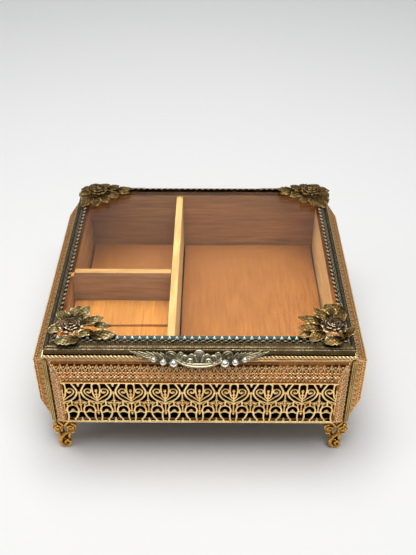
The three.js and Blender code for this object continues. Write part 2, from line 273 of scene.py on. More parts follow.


# Each metal: name, its bright, middle and dark tones in sRGB, and the range of its roughness. The bright
# tone, on high places, is partly a painted highlight; the dark tone, in hollows, partly painted shade.
METALS = {
    "openwork": ("openwork_gilt", (255, 234, 172), (252, 184, 98), (120, 66, 22), (0.28, 0.5)),
    "stamped": ("stamped_gilt", (255, 242, 202), (248, 178, 106), (92, 52, 20), (0.3, 0.5)),
    # stamped_left and stamped_right are shaded and lit copies of the stamped gilt: painted shade on the
    # left panel, painted light on the right.
    "stamped_left": ("stamped_olive", (255, 210, 138), (214, 146, 78), (62, 36, 15), (0.34, 0.55)),
    "stamped_right": ("stamped_brown", (255, 228, 166), (248, 172, 94), (86, 50, 19), (0.32, 0.52)),
    "strip": ("corner_brass", (206, 174, 104), (142, 112, 60), (26, 18, 9), (0.36, 0.58)),
    "rope": ("rope_gilt", (255, 240, 190), (255, 212, 134), (180, 116, 54), (0.22, 0.38)),
    "foot": ("foot_gilt", (255, 214, 116), (186, 118, 48), (24, 12, 4), (0.18, 0.38)),
    "lid": ("lid_brass", (246, 238, 212), (104, 86, 54), (24, 18, 10), (0.38, 0.6)),
    "leaf": ("leaf_brass", (240, 224, 178), (138, 116, 72), (20, 15, 8), (0.44, 0.66)),
    # A browner copy of the leaf brass, for the front right spray.
    "worn_leaf": ("worn_leaf_brass", (226, 196, 130), (126, 98, 56), (24, 17, 9), (0.4, 0.62)),
    "dark_leaf": ("dark_leaf_brass", (192, 162, 104), (114, 91, 52), (20, 14, 8), (0.46, 0.68)),
    "rose": ("rose_brass", (208, 188, 158), (86, 64, 42), (14, 10, 6), (0.36, 0.52)),
    "dark_rose": ("dark_rose_brass", (176, 148, 100), (92, 72, 38), (14, 10, 6), (0.4, 0.6)),
    "lift": ("lift_brass", (255, 254, 246), (196, 184, 148), (98, 90, 68), (0.2, 0.38)),
    "base": ("base_brass", (150, 120, 70), (120, 94, 50), (84, 62, 32), (0.4, 0.6)),
    "steel": ("hinge_metal", (190, 176, 140), (150, 136, 104), (96, 86, 62), (0.3, 0.5)),
}
# Each wood: name, light, middle and dark tones, the axis of its grain; figure, gloss and painted shade at
# the back.
WOODS = {
    # The walls' copies differ by the light on them: wall_back is darker, painted shade; wall_right much
    # lighter, painted light.
    "wall_back": ("wall_wood_painted_shade", (184, 138, 94), (160, 116, 74), (120, 84, 54), 0),
    "wall_left": ("wall_wood_left", (212, 160, 102), (186, 134, 80), (138, 96, 56), 1),
    "wall_right": ("wall_wood_painted_light", (255, 232, 172), (252, 212, 148), (208, 164, 106), 1),
    "cross": ("cross_wood", (190, 148, 106), (166, 126, 86), (126, 92, 62), 0),
    "long": ("long_wood", (240, 200, 134), (222, 174, 106), (182, 134, 76), 1, 0.7),
    "edge": ("edge_wood", (218, 172, 108), (197, 148, 87), (157, 112, 62), 0, 0.7),
    "floor": ("floor_wood", (198, 132, 58), (174, 109, 42), (138, 82, 30), 1, 0.8, 0.5, (150, 96, 50)),
    "block": ("block_wood", (224, 154, 68), (202, 134, 56), (160, 98, 38), 1, 0.8),
}
# Each glass: name, tint; roughness, index of refraction and how much of it is clear.
PANES = {
    "glass": ("lid_glass", (0.97, 0.99, 0.98)),
    # The front bevel's dark teal is painted shade seen through the glass's edge; the other bevels' amber is
    # a painted reflection of the gilt round them.
    "bevel": ("bevel_glass", (0.008, 0.13, 0.13), 0.03, 1.3, 0.4),
    "clear_bevel": ("clear_bevel_glass", (0.86, 0.7, 0.48), 0.03, 1.3),
}
MATERIALS = {key: metal(*values, key not in ("base", "steel")) for key, values in METALS.items()}
MATERIALS["black"] = black_lining_and_shade()
MATERIALS.update({key: wood(*values) for key, values in WOODS.items()})
MATERIALS.update({key: glass(*values) for key, values in PANES.items()})


# ---- mesh tools


class Shape:
    """Points in millimetres with a relief value each, and polygons, gathered into one mesh."""

    def __init__(self):
        self.points = []
        self.relief = []
        self.polygons = []
        self.slots = []
        self.count = 0

    def add(self, points, polygons, relief=1.0, slot=0):
        """Adds points, and polygons that count from the first of them."""
        points = np.asarray(points, float).reshape(-1, 3)
        self.points.append(points)
        self.relief.append(np.broadcast_to(np.asarray(relief, float).ravel(), (len(points),)))
        for polygon in polygons:
            polygon = np.asarray(polygon)
            if len(polygon):
                self.polygons.append(polygon + self.count)
                self.slots.append(np.full(len(polygon), slot))
        self.count += len(points)

    def move(self, change):
        """Passes all points through a function, and gives the shape back."""
        self.points = [change(points) for points in self.points]
        return self

    def mesh(self, name):
        """A Blender mesh of the shape, in metres."""
        mesh = bpy.data.meshes.new(name)
        points = np.concatenate(self.points) * MM
        mesh.vertices.add(len(points))
        mesh.vertices.foreach_set("co", points.astype(np.float32).ravel())
        sizes = np.concatenate([np.full(len(p), p.shape[1]) for p in self.polygons])
        mesh.loops.add(int(sizes.sum()))
        corners = np.concatenate([p.ravel() for p in self.polygons])
        mesh.loops.foreach_set("vertex_index", corners.astype(np.int32))
        mesh.polygons.add(len(sizes))
        starts = np.concatenate([[0], np.cumsum(sizes)[:-1]])
        mesh.polygons.foreach_set("loop_start", starts.astype(np.int32))
        mesh.polygons.foreach_set("material_index", np.concatenate(self.slots).astype(np.int32))
        mesh.update(calc_edges=True)
        values = np.concatenate(self.relief).astype(np.float32)
        mesh.attributes.new("relief", "FLOAT", "POINT").data.foreach_set("value", values)
        return mesh


def place(name, mesh, materials, body, record_slot, replaced=(), smooth_below=None):
    """A finished piece: its mesh, its materials, the body it rides on and the nodes it stands for."""
    piece = bpy.data.objects.new(name, mesh)
    bpy.context.scene.collection.objects.link(piece)
    for key in materials:
        mesh.materials.append(MATERIALS[key])
    mesh.shade_smooth()
    if smooth_below is not None:
        mesh.set_sharp_from_angle(angle=math.radians(smooth_below))
    if replaced:
        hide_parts(*replaced)
    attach(piece, body)
    return piece


def points_of(mesh):
    """The mesh's points, one to a row."""
    points = np.empty(len(mesh.vertices) * 3, np.float32)
    mesh.vertices.foreach_get("co", points)
    return points.reshape(-1, 3)


def turned(angle, x=0.0, y=0.0, z=0.0):
    """A function that turns points about Z, then moves them."""
    cos, sin = math.cos(angle), math.sin(angle)
    matrix = np.array([[cos, -sin, 0], [sin, cos, 0], [0, 0, 1]])
    return lambda points: points @ matrix.T + (x, y, z)


def quads(rows, columns, closed=False):
    """Quads of a grid of points, row by row; closed joins the last column to the first."""
    index = np.arange(rows * columns).reshape(rows, columns)
    right = np.roll(index, -1, axis=1) if closed else index[:, 1:]
    left = index if closed else index[:, :-1]
    return np.stack([left[:-1], right[:-1], right[1:], left[1:]], axis=-1).reshape(-1, 4)


def smooth_path(points, steps=5):
    """A Catmull-Rom curve through the points."""
    p = np.asarray(points, float)
    if len(p) < 3:
        return p
    ends = np.concatenate([[2 * p[0] - p[1]], p, [2 * p[-1] - p[-2]]])
    t = np.linspace(0, 1, steps, endpoint=False)[:, None]
    made = []
    for a, b, c, d in zip(ends, ends[1:], ends[2:], ends[3:]):
        square = 2 * a - 5 * b + 4 * c - d
        cube = 3 * b - a - 3 * c + d
        made.append(0.5 * (2 * b + (c - a) * t + square * t**2 + cube * t**3))
    return np.concatenate(made + [p[-1:]])


def closed_skin(shape, rings, ends, relief, outward):
    """Rings of points as one closed skin, with a point in the middle of each end."""
    rows, sides = rings.shape[:2]
    n = rows * sides
    ring = np.arange(sides)
    following = np.roll(ring, -1)
    near, far = (following, ring) if outward else (ring, following)
    first = np.stack([np.full(sides, n), near, far], axis=1)
    last = np.stack([np.full(sides, n + 1), far + n - sides, near + n - sides], axis=1)
    body = quads(rows, sides, True)
    points = np.concatenate([rings.reshape(-1, 3), ends])
    shape.add(points, [body if outward else body[:, ::-1], first, last], relief)


def tube(shape, path, radius, sides=8, relief=1.0):
    """A round bar along a path of 3D points, its radius one number or one for each point."""
    path = np.asarray(path, float)
    radius = np.broadcast_to(radius, (len(path),))
    along = np.gradient(path, axis=0)
    along /= np.linalg.norm(along, axis=1)[:, None]
    side = np.cross(along[0], (0.31, 0.52, 0.79))
    rings = []
    for point, direction, r in zip(path, along, radius):
        side = side - direction * (side @ direction)
        side /= np.linalg.norm(side)
        other = np.cross(direction, side)
        angle = np.linspace(0, TAU, sides, endpoint=False)[:, None]
        rings.append(point + r * (np.cos(angle) * side + np.sin(angle) * other))
    closed_skin(shape, np.stack(rings), path[[0, -1]], relief, outward=True)


def ball(shape, centre, radius, stretch=(1, 1, 1), sides=12, relief=1.0):
    """A sphere, or an ellipsoid by its stretch."""
    rings = sides // 2
    polar = np.linspace(0, math.pi, rings + 1)[1:-1]
    angle = np.linspace(0, TAU, sides, endpoint=False)
    p, a = np.meshgrid(polar, angle, indexing="ij")
    points = np.stack([np.sin(p) * np.cos(a), np.sin(p) * np.sin(a), np.cos(p)], axis=-1)
    ends = np.array([(0, 0, 1), (0, 0, -1)])
    points, ends = (v * radius * np.asarray(stretch) + centre for v in (points, ends))
    closed_skin(shape, points, ends, relief, outward=False)


def block(shape, low, high):
    """A plain box between two corners."""
    x0, y0, z0 = low
    x1, y1, z1 = high
    points = [(x, y, z) for z in (z0, z1) for x, y in ((x0, y0), (x1, y0), (x1, y1), (x0, y1))]
    faces = [(3, 2, 1, 0), (4, 5, 6, 7), (0, 1, 5, 4), (1, 2, 6, 5), (2, 3, 7, 6), (3, 0, 4, 7)]
    shape.add(points, [np.array(faces)])


def closed_sheet(shape, front, back, relief, back_relief, flipped=False):
    """A grid of points and the same grid behind it, joined round their rims."""
    rows, columns = front.shape[:2]
    n = rows * columns
    index = np.arange(n).reshape(rows, columns)
    rim = np.concatenate([index[0], index[1:, -1], index[-1, -2::-1], index[-2:0:-1, 0]])
    following = np.roll(rim, -1)
    faces = quads(rows, columns)
    walls = np.stack([following, rim, rim + n, following + n], axis=1)
    parts = [faces, faces[:, ::-1] + n, walls]
    if flipped:
        parts = [part[:, ::-1] for part in parts]
    values = [np.broadcast_to(value, (rows, columns)).ravel() for value in (relief, back_relief)]
    points = np.concatenate([front.reshape(-1, 3), back.reshape(-1, 3)])
    shape.add(points, parts, np.concatenate(values))


def fused(shape, name, voxel):
    """The shape's mesh, its crossing parts fused by a voxel remesh, and relief from how hollow it is."""
    maker = bpy.data.objects.new(name + "_maker", shape.mesh(name))
    bpy.context.scene.collection.objects.link(maker)
    remesh = maker.modifiers.new("fuse", "REMESH")
    remesh.mode = "VOXEL"
    remesh.voxel_size = voxel * MM
    soften = maker.modifiers.new("soften", "SMOOTH")
    soften.iterations = 1
    soften.factor = 0.5
    shown = maker.evaluated_get(bpy.context.evaluated_depsgraph_get())
    made = bpy.data.meshes.new_from_object(shown)
    made.name = name
    bpy.data.objects.remove(maker)
    set_cavity(made)
    return made


def set_cavity(mesh, spread=6, gain=5.0):
    """Fills the relief attribute: near 0 in hollows and near 1 on ridges, giving dark patina and painted
    shade in the hollows and painted highlights on the ridges.
    """
    count = len(mesh.vertices)
    points = points_of(mesh).astype(float)
    normals = np.empty(count * 3, np.float32)
    mesh.vertex_normals.foreach_get("vector", normals)
    normals = normals.reshape(-1, 3)
    edges = np.empty(len(mesh.edges) * 2, np.int32)
    mesh.edges.foreach_get("vertices", edges)
    a, b = edges.reshape(-1, 2).T
    ends = np.concatenate([a, b])
    links = np.maximum(np.bincount(ends, minlength=count), 1)

    def around(values):
        others = np.concatenate([values[b], values[a]])
        return np.bincount(ends, others, count) / links

    mean = points.copy()
    for _ in range(spread):
        mean = np.stack([around(mean[:, k]) for k in range(3)], axis=1)
    hollow = ((mean - points) * normals).sum(axis=1)
    scale = np.std(hollow) + 1e-9
    relief = np.clip(0.5 - hollow / (scale * gain), 0, 1)
    attribute = mesh.attributes.get("relief") or mesh.attributes.new("relief", "FLOAT", "POINT")
    attribute.data.foreach_set("value", relief.astype(np.float32))


# ---- stamped and pierced sheet


def stroke_field(points, strokes):
    """For points of a flat pattern: distance to the nearest stroke's edge, and the rounded height."""
    edge = np.full(len(points), 1e3)
    height = np.zeros(len(points))
    for path, radius, *rise in strokes:
        path = smooth_path(path)
        near = np.hypot(*(points - path[0]).T)
        for start, end in zip(path[:-1], path[1:]):
            step = end - start
            t = np.clip(((points - start) @ step) / (step @ step), 0, 1)
            near = np.minimum(near, np.hypot(*(points - start - t[:, None] * step).T))
        edge = np.minimum(edge, near - radius)
        round_back = np.sqrt(np.clip(1 - (near / radius) ** 2, 0, 1))
        height = np.maximum(height, round_back * radius * (rise[0] if rise else 0.8))
    return edge, height


def repeated(strokes, half, cells, reach, tall, rows):
    """A mirrored motif of the given half width, repeated along a line, as grids of distance and height."""
    step = half / cells
    count = math.ceil(reach / step - 1e-6)
    a = np.arange(-count, count + 1) * step
    b = np.linspace(0, tall, rows + 1)
    unit = np.stack(np.meshgrid(np.arange(cells + 1) * step, b, indexing="ij"), axis=-1)
    edge, height = stroke_field(unit.reshape(-1, 2), strokes)
    fold = np.abs(np.arange(-count, count + 1)) % (2 * cells)
    fold = np.where(fold > cells, 2 * cells - fold, fold)
    shape = (cells + 1, rows + 1)
    return a, b, edge.reshape(shape)[fold], height.reshape(shape)[fold]


# The part of a grid cell that is inside, by which corners are: 0 to 3 are corners, 4 to 7 edges.
CELL_CUTS = {
    1: [(0, 4, 7)],
    2: [(1, 5, 4)],
    3: [(0, 1, 5, 7)],
    4: [(2, 6, 5)],
    5: [(0, 4, 7), (2, 6, 5)],
    6: [(1, 2, 6, 4)],
    7: [(0, 1, 2, 6, 7)],
    8: [(3, 7, 6)],
    9: [(0, 4, 6, 3)],
    10: [(1, 5, 4), (3, 7, 6)],
    11: [(0, 1, 5, 6, 3)],
    12: [(2, 3, 7, 5)],
    13: [(0, 4, 5, 2, 3)],
    14: [(1, 2, 3, 7, 4)],
    15: [(0, 1, 2, 3)],
}


def cut_grid(a, b, distance, height):
    """The part of a grid where distance is below zero: its points (a, b, height) and polygons."""
    na, nb = distance.shape
    corner = np.arange(na * nb).reshape(na, nb)
    across = corner.size + np.arange((na - 1) * nb).reshape(na - 1, nb)
    upward = corner.size + across.size + np.arange(na * (nb - 1)).reshape(na, nb - 1)
    parts = [
        corner[:-1, :-1], corner[1:, :-1], corner[1:, 1:], corner[:-1, 1:],
        across[:, :-1], upward[1:], across[:, 1:], upward[:-1],
    ]
    inside = (distance < 0).astype(int)
    case = inside[:-1, :-1] + 2 * inside[1:, :-1] + 4 * inside[1:, 1:] + 8 * inside[:-1, 1:]
    polygons = []
    for number, shapes in CELL_CUTS.items():
        hit = case == number
        for corners in shapes:
            polygons.append(np.stack([parts[k][hit] for k in corners], axis=1))
    grid = np.stack([*np.meshgrid(a, b, indexing="ij"), height], axis=-1)

    def crossing(first, second, p, q):
        share = np.clip(first / np.where(first == second, 1, first - second), 0, 1)[..., None]
        return (p + share * (q - p)).reshape(-1, 3)

    points = np.concatenate([
        grid.reshape(-1, 3),
        crossing(distance[:-1], distance[1:], grid[:-1], grid[1:]),
        crossing(distance[:, :-1], distance[:, 1:], grid[:, :-1], grid[:, 1:]),
    ])
    used = np.unique(np.concatenate([p.ravel() for p in polygons]))
    renumber = np.zeros(len(points), int)
    renumber[used] = np.arange(len(used))
    return points[used], [renumber[p] for p in polygons if len(p)]


def sheet(shape, frame_of, grid, thick, relief_scale):
    """A cut grid as a closed sheet. frame_of is its origin and its along, up and outward directions."""
    origin, along, up, out = (np.asarray(v, float) for v in frame_of)
    points, polygons = cut_grid(*grid)
    flat = origin + points[:, :1] * along + points[:, 1:2] * up
    front = flat + points[:, 2:] * out
    back = flat - thick * out
    n = len(points)
    ends = []
    for polygon in polygons:
        ends.append(np.stack([polygon, np.roll(polygon, -1, axis=1)], axis=-1).reshape(-1, 2))
    ends = np.concatenate(ends)
    open_ends = ends[~np.isin(ends[:, 0] * n + ends[:, 1], ends[:, 1] * n + ends[:, 0])]
    u, v = open_ends.T
    walls = np.stack([v, u, u + n, v + n], axis=1)
    backs = [polygon[:, ::-1] + n for polygon in polygons]
    relief = np.concatenate([np.clip(points[:, 2] / relief_scale, 0, 1), np.zeros(n)])
    shape.add(np.concatenate([front, back]), polygons + backs + [walls], relief)


# One half of the openwork's repeat: x from its bud, up from the field's lower edge. Each stroke has its
# points and half its width, and its rise where that isn't 0.8 of the half width.
OPENWORK = [
    ([
        (5.9, 35.4), (7, 33.2), (8.3, 30.6), (9.2, 28.2), (9.1, 26),
        (8, 23.2), (6, 20.8), (3.4, 19.2), (0, 18),
    ], 0.62),
    ([(10.6, 26.7), (9.1, 26.7)], 0.7),
    ([(10.6, 35), (10.6, 33.9)], 1.0),
    ([(10.6, 33.5), (10.6, 32.2)], 0.5),
    ([(2.3, 35.4), (2.35, 30), (2.25, 27.5), (1.9, 24.6), (1.2, 22.6), (0, 21.4)], 0.52),
    ([(2.3, 33), (1.4, 34.3), (0, 34.7)], 0.55),
    ([(0, 28.6), (0, 28.2)], 0.95),
    ([(0, 27.6), (0, 19)], 0.45),
    ([(2, 24.8), (0, 25)], 0.48),
    ([
        (0.2, 19.6), (2.2, 21.4), (4, 23), (5.9, 24.7), (7.2, 26.6), (7.1, 28.6),
        (5.6, 30), (3.8, 29.6), (3.1, 28), (3.8, 26.5), (5, 26.4),
    ], 0.5),
    ([(5.1, 27.3), (5.2, 27.2)], 0.9),
    ([(10.6, 20.4), (10.6, 20)], 0.95),
    ([(10.6, 16.2), (10.6, 15.8)], 0.95),
    ([(8.6, 18.1), (8.2, 18.1)], 1.0),
    ([(10.6, 18.1), (10.55, 18.1)], 0.85, 1.2),
    ([(9.3, 19.4), (9.25, 19.4)], 0.42),
    ([(9.3, 16.8), (9.25, 16.8)], 0.42),
    ([(10.6, 26), (10.6, 21)], 0.42),
    ([(10.6, 15), (10.6, 10)], 0.42),
    ([(7.6, 18.1), (6, 18.2), (5.2, 17.6)], 0.42),
    ([(5.1, 20.2), (5.3, 15.4)], 0.52),
    ([(0, 18.1), (0, 17.9)], 1.35),
    ([(1.6, 16.9), (1.55, 16.9)], 0.5),
    ([(0, 16.8), (0, 10.2)], 0.42),
    ([(1.9, 10.3), (0, 10.3)], 0.42),
    ([(4.3, 18.4), (2.8, 17.2), (2.2, 15.6), (2.2, 14.2)], 0.42),
    ([(6.7, 17.2), (7.9, 16.2), (8.4, 14.6)], 0.42),
    ([
        (7.6, 9), (8.7, 9.7), (8.95, 11.6), (8, 14), (6.4, 15.2), (5.3, 15.4),
        (4.2, 15.2), (2.6, 14), (1.65, 11.6), (1.9, 9.7), (3, 9),
    ], 0.58),
    ([(5.3, 10.7), (5.25, 10.7)], 1.3),
    ([(5.3, 10.4), (4, 9.6), (3, 9)], 0.7),
    ([(5.3, 10.4), (6.7, 9.6), (7.6, 9)], 0.62),
    ([(10.6, 9.9), (8.9, 9.2), (8.3, 6.8), (7.3, 4.4), (6.1, 2.8), (6.4, 1)], 0.6),
    ([(10.6, 2.2), (10.6, 1)], 1.05),
    ([(10.6, 4), (10.6, 3)], 0.5),
    ([(1.8, 9.6), (2.2, 6.4), (2, 3.6), (1.5, 1)], 0.55),
    ([(0, 9.1), (0, 8.6)], 0.8),
    ([(0, 8.4), (0, 7.2)], 0.4),
    ([(10.6, 0.5), (0, 0.5)], 0.85),
    ([(10.6, 35.1), (0, 35.1)], 0.7),
]

# One half of the stamped ornament's repeat, up from the field's edge towards the panel's rim.
STAMPED = [
    ([(0, 10.6), (1.1, 8.6), (1.8, 7.0)], 0.34),
    ([(0, 8.8), (0, 6.9)], 0.5),
    ([(2.25, 9.4), (2.26, 9.4)], 0.55),
    ([(2.25, 7.7), (2.26, 7.7)], 0.3),
    ([(0.7, 6.2), (1.5, 6.0), (2.25, 6.6)], 0.3),
    ([(0, 5.9), (0.8, 4.6), (1.3, 2.6), (2.25, 0.8)], 0.3),
    ([(2.25, 5.7), (1.6, 4.2), (0.9, 2.4), (0, 0.6)], 0.3),
    ([(0, 3.4), (0.05, 3.4)], 0.6),
    ([(2.25, 3.2), (2.26, 3.2)], 0.62),
    ([(1.15, 5.5), (1.16, 5.5)], 0.34),
    ([(1.1, 0.8), (1.15, 0.8)], 0.34),
    ([(0, 1.7), (0.01, 1.7)], 0.22),
    ([(2.25, 4.7), (2.26, 4.7)], 0.25),
]
RIM_TICKS = [([(x, 11.5), (x + 0.01, 12.3)], 0.26) for x in (0, 0.75, 1.5, STAMPED_HALF)]
RIM_STRIP = [
    ([(0, 13.7), (STAMPED_HALF, 13.7)], 0.9, 0.26),
    ([(0, 13.5), (STAMPED_HALF, 13.5)], 0.22, 0.5),
]


def border_sheet(shape, frame_of, low, high, deep, strokes):
    """A stamped slope beside the field, from the field's edge out to the panel's rim.

    low and high are the slope's two ends, each at the field's edge and then at the rim.
    """
    reach = max(abs(low[1]), abs(high[1]))
    rows = round(deep / 0.4)
    a, b, _, height = repeated(strokes, STAMPED_HALF, 6, reach, deep, rows)
    along, up = np.meshgrid(a, b, indexing="ij")
    share = up / deep
    low_side = low[0] + (low[1] - low[0]) * share - along
    high_side = along - high[0] - (high[1] - high[0]) * share
    inside = np.maximum(low_side, high_side) - 0.3
    fade = np.clip(-inside / 0.7, 0, 1) * np.clip(up / 0.5, 0, 1) * np.clip((deep - up) / 0.5, 0, 1)
    ridge = 0.4 * np.exp(-(((inside + 0.9) / 0.45) ** 2))
    # Relief follows the height: painted highlight on the raised stamping and the ridge, painted shade on
    # the flat.
    relief = np.maximum(height * fade * 1.5, ridge * np.clip(up / 0.5, 0, 1))
    sheet(shape, frame_of, (a, b, inside, relief), 0.9, 0.5)


def panel(name, turn, width, depth):
    """One side's pierced field, and the stamped slopes round it."""
    back = depth + 0.2
    front = depth + BULGE
    field = width - BULGE
    rim = width - 0.2
    half = field / REPEATS
    tall = Z_SHOULDER - Z_KNEE

    pierced = Shape()
    fitted = [([(x * half / OPENWORK_HALF, z) for x, z in path], *rest) for path, *rest in OPENWORK]
    a, b, edge, height = repeated(fitted, half, 30, field, tall, 100)
    ends = field - 0.9 - np.abs(a)[:, None]
    edge = np.minimum(edge, np.broadcast_to(ends, edge.shape))
    flat = (0, -front, Z_KNEE), (1, 0, 0), (0, 0, 1), (0, -1, 0)
    # The strokes' height is also their relief: painted highlight on their crowns, painted shade at their
    # low edges.
    sheet(pierced, flat, (a, b, edge, height + 0.05), 0.7, 0.5)

    stamped = Shape()
    run = front - back
    ends = (-field, -rim), (field, rim)
    upper_strokes = STAMPED + RIM_TICKS + RIM_STRIP
    slopes = (Z_SHOULDER, Z_PANEL_TOP, 1, upper_strokes), (Z_KNEE, Z_BOTTOM, -1, STAMPED)
    for start, stop, sign, strokes in slopes:
        rise = stop - start
        deep = math.hypot(rise, run)
        up = (0, run / deep, rise / deep)
        out = (0, -abs(rise) / deep, sign * run / deep)
        border_sheet(stamped, ((0, -front, start), (sign, 0, 0), up, out), *ends, deep, strokes)
    root = math.sqrt(0.5)
    middle = (Z_KNEE + Z_SHOULDER) / 2
    high = np.array((Z_SHOULDER, Z_PANEL_TOP)) - middle
    low = np.array((Z_KNEE, Z_BOTTOM)) - middle
    for sign, ends in ((1, (-high, -low)), (-1, (low, high))):
        up = (sign * root, root, 0)
        out = (sign * root, -root, 0)
        side = (sign * field, -front, middle), (0, 0, -sign), up, out
        border_sheet(stamped, side, *ends, math.hypot(run, run), STAMPED)

    # The side panels take the shaded and lit copies of the stamped gilt: painted shade on the left, painted
    # light on the right.
    tone = {"left": "stamped_left", "right": "stamped_right"}.get(name, "stamped")
    for label, made, material in (("openwork", pierced, "openwork"), ("stamping", stamped, tone)):
        piece = name + "_" + label
        mesh = made.move(turned(turn)).mesh(piece)
        place(piece, mesh, [material], "base", "panel_brass", [name + "_panel"], 40)


def corner_strip(name, sx, sy, turn):
    """Fluted strip over the seam of two panels, narrowing to its ends, with a small boss at the top."""
    shape = Shape()
    across = np.linspace(-1, 1, 53)
    flutes = np.sqrt(np.abs(np.cos(across * 1.36 * math.pi)))
    z = np.linspace(Z_BOTTOM + 0.4, Z_PANEL_TOP - 0.6, 110)
    facet = np.minimum((Z_PANEL_TOP - z) * 1.2, (z - Z_BOTTOM) * 1.4)
    wide = np.minimum(STRIP_HALF, 1.3 + facet)[:, None]
    wear = 0.06 * np.sin(z * 2.6)[:, None] + 0.05 * np.sin(z * 0.9)[:, None]
    height = 0.25 + 0.65 * flutes + wear * flutes
    x = wide * across
    front = np.stack([x, -0.25 - height, np.broadcast_to(z[:, None], x.shape)], axis=-1)
    back = front.copy()
    back[..., 1] = -0.15
    # Relief paints highlights on the flutes' crowns and shade in their valleys; the back gets a middle
    # tone.
    closed_sheet(shape, front, back, flutes**2 * 1.05 - 0.05, 0.5)
    ball(shape, (0, -1.0, Z_PANEL_TOP - 2.4), 1.5, (1, 0.7, 1))
    node = "corner_strip_" + name
    mesh = shape.move(turned(turn, sx * HALF_X, sy * HALF_Y)).mesh(node)
    place(node + "_fluted", mesh, ["strip"], "base", "dark_brass", [node], 35)


def twisted_rim(name, turn, width, depth):
    """Two strands twisted into a rope under the lid's edge."""
    shape = Shape()
    out = depth + 0.9
    high = Z_PANEL_TOP + 1.42
    lay = 0.52
    x = np.linspace(-width - 1.4, width + 1.4, 900)
    for strand in (0, math.pi):
        angle = x / ROPE_PITCH * TAU + strand
        path = np.stack([x, lay * np.cos(angle) - out, high + lay * np.sin(angle)], axis=1)
        tube(shape, path, STRAND_RADIUS)
    # Painted highlight on the strands' outer crowns, painted shade where the two strands press together.
    for k, strand in enumerate(shape.points):
        off = np.hypot(strand[:, 1] + out, strand[:, 2] - high)
        shape.relief[k] = np.clip((off - 0.55) / 0.6, 0, 1)
    node = "rim_rope_" + name
    mesh = shape.move(turned(turn)).mesh(node)
    place(node + "_twisted", mesh, ["rope"], "base", "rope_brass", [node])


# ---- lid


def moulding(name, turn, width, depth):
    """One side of the lid: flange, beads, hollow band, diamonds and pointed teeth over the glass."""
    pitch = 2 * (width - 1.5) / TEETH
    x = np.arange(-width, width + 0.01, pitch / 12)
    tooth = 1 - np.abs((x / pitch + 0.5) % 1 * 2 - 1)
    bead = np.abs(np.sin(x / 0.95 * math.pi))
    rows = []

    def row(inward, height, relief):
        """One line along the section: inward distance, height above the lid's underside, relief."""
        rows.append(np.broadcast_arrays(inward, height, relief, x)[:3])

    for line in (
        (1.5, 0.1, 0.2), (0.5, 0.0, 0.2), (0.05, 0.3, 0.45), (0, 0.9, 0.45), (0.12, 1.2, 0.4),
        (0.12, 3.0, 0.48), (0.0, 3.3, 0.5), (-0.25, 3.55, 0.55), (-0.25, 3.95, 0.58), (0.1, 4.2, 0.5),
        (0.5, 4.25, 0.1),
    ):
        row(*line)
    # The beads' relief paints a highlight on their tops.
    for share in np.linspace(0, 1, 5):
        swell = math.sin(share * math.pi) * 0.42
        row(0.6 + share * 0.8, 4.35 + share * 0.5 + swell * bead, 0.15 + 0.8 * swell * 2 * bead)
    # Painted shade down in the hollow band, crossed by a hatched pattern.
    hatch = 0.12 * np.sin(x / 0.55 * math.pi)
    for share in np.linspace(0, 1, 7):
        hollow = -0.35 * math.sin(share * math.pi)
        row(1.55 + share * 2, 4.9 + share * 1.3 + hollow, 0.6 + hollow + hatch)
    # Painted highlight along the diamonds' ridges.
    for share in np.linspace(0, 1, 9):
        ring = np.abs(1 - tooth - (1 - np.abs(share * 2 - 1)))
        ridge = np.exp(-((ring / 0.22) ** 2))
        row(3.65 + share * 2.0, 6.35 + share * 1.0 + 0.55 * ridge, 0.92 * ridge)
    # Painted highlight on the tooth tips, painted shade between the teeth; the face under each tip gets a
    # middle tone.
    point = np.clip((tooth - 0.52) / 0.48, 0, 1)
    reach = 0.3 + 1.6 * point
    for share in np.linspace(0, 1, 7):
        height = 7.3 + 1.6 * share * point + 0.25 * math.sin(share * math.pi)
        row(5.75 + share * reach, height, 0.05 + 1.6 * np.clip(point * 4, 0, 1) * (0.35 + 0.65 * share))
    row(5.75 + reach - 0.2, 7.1 + 0.6 * point, 0.6 * point)
    for line in ((5.9, 7.1, 0), (5.7, 4.4, 0), (1.5, 3.2, 0)):
        row(*line)

    inward, high, relief = (np.stack([line[k] for line in rows], axis=1) for k in range(3))
    limit = width - np.maximum(inward, 0) - 0.05
    points = np.stack([np.clip(x[:, None], -limit, limit), inward - depth, high + Z_LID], axis=-1)
    relief = np.append(relief.ravel(), (0, 0))
    shape = Shape()
    closed_skin(shape, points, points.mean(axis=1)[[0, -1]], relief, outward=False)
    node = "lid_frame_" + name
    mesh = shape.move(turned(turn)).mesh(node)
    place(node + "_moulding", mesh, ["lid"], "lid", "lid_brass", [node], 50)


def pane():
    """The lid's glass, with a wide shallow bevel all round."""
    shape = Shape()
    half = np.array((HALF_X, HALF_Y)) - GLASS_INSET
    low, edge = GLASS_TOP - 3, GLASS_TOP - 1.3
    rings = [(0.5, low), (0, low + 0.4), (0, edge - 0.2), (0.3, edge), (3, GLASS_TOP)]
    corners = np.array([(-1, -1), (1, -1), (1, 1), (-1, 1)])
    points = [(*(corner * (half - inset)), z) for inset, z in rings for corner in corners]
    walls = quads(len(rings), 4, True)
    front = np.arange(len(walls)) % 4 == 0
    top = 4 * (len(rings) - 1)
    shape.add(points, [np.array([(3, 2, 1, 0), (top, top + 1, top + 2, top + 3)])])
    # Front bevel: painted dark teal shade. Other bevels: painted amber reflection.
    shape.add(points, [walls[front]], slot=1)
    shape.add(points, [walls[~front]], slot=2)
    mesh = shape.mesh("bevelled_pane")
    weld(mesh)
    place("bevelled_pane", mesh, ["glass", "bevel", "clear_bevel"], "lid", "glass", ["lid_glass"], 4)


def weld(mesh):
    """Joins points that lie together, so that the mesh closes."""
    work = bmesh.new()
    work.from_mesh(mesh)
    bmesh.ops.remove_doubles(work, verts=work.verts, dist=0.0005 * MM)
    work.to_mesh(mesh)
    work.free()


